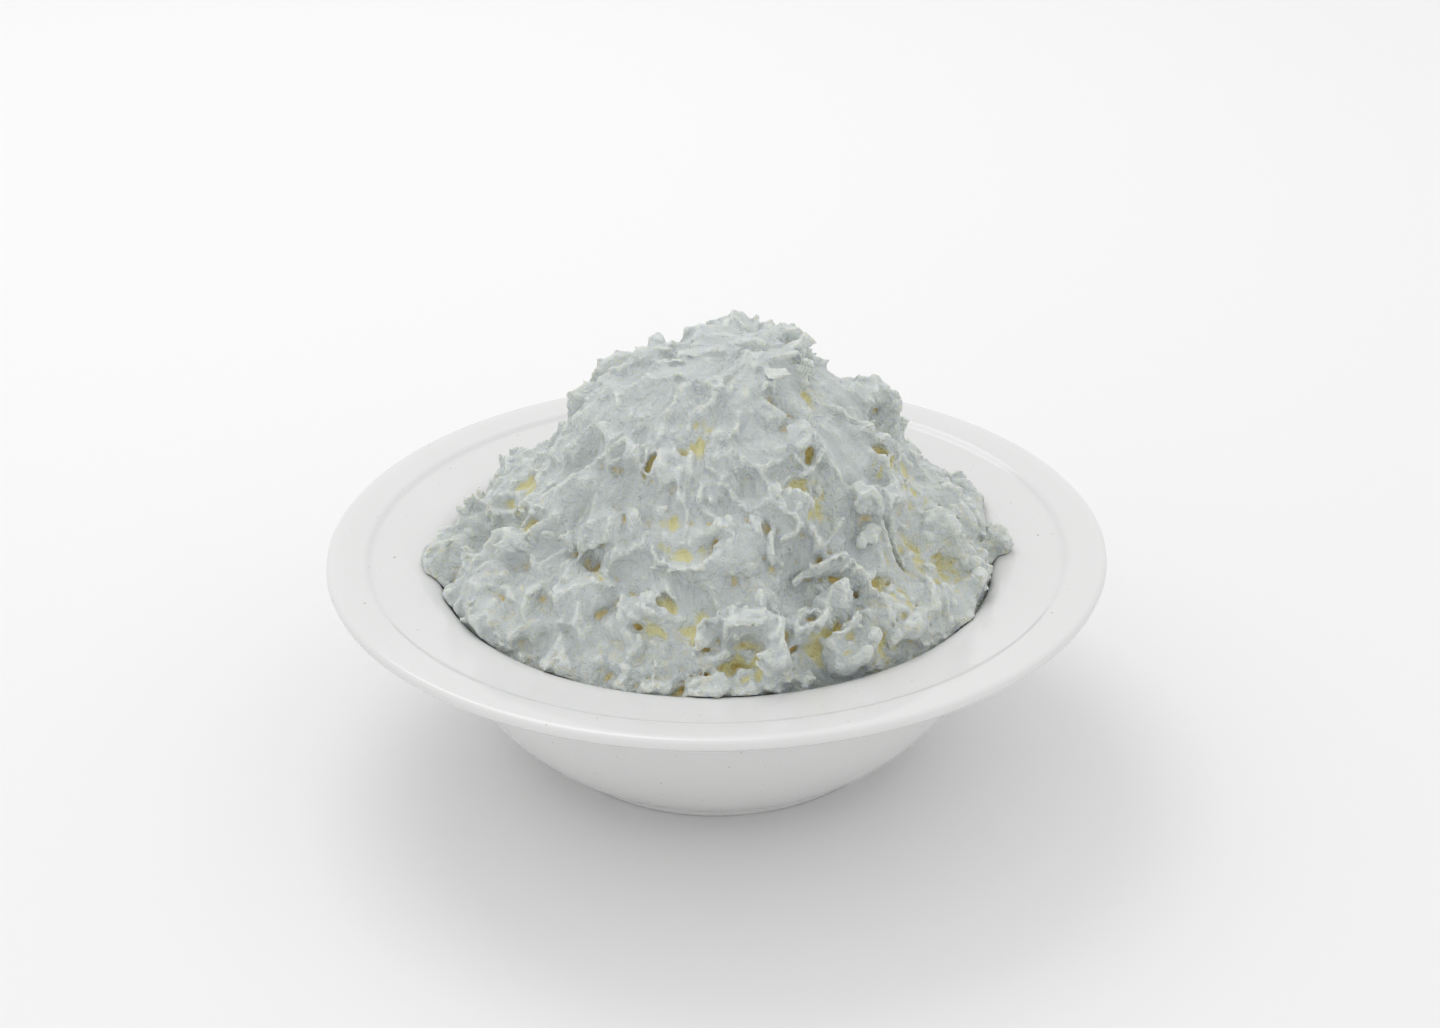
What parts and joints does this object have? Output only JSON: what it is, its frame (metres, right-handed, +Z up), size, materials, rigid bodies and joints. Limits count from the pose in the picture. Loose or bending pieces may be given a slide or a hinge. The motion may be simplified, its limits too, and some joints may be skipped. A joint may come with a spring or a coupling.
{
  "type": "bowl of labneh",
  "caption": "White round bowl with a wide rim and a low foot, filled and heaped high with thick strained yoghurt in lumps, flaps and spooned hollows.",
  "frame": {"origin": "on the table, under the middle of the bowl's foot", "axes": "+Z up; -Y towards the viewer of the picture, so the front of the heap faces -Y; +X to the right"},
  "size_m": [0.23, 0.23, 0.1293],
  "materials": {
    "glaze": "smooth white glaze, glossy",
    "yoghurt": "moist off-white, soft and slightly grainy, yellower in its hollows"
  },
  "bodies": {
    "root": {"bowl": "glaze", "labneh": "yoghurt"}
  },
  "joints": []
}
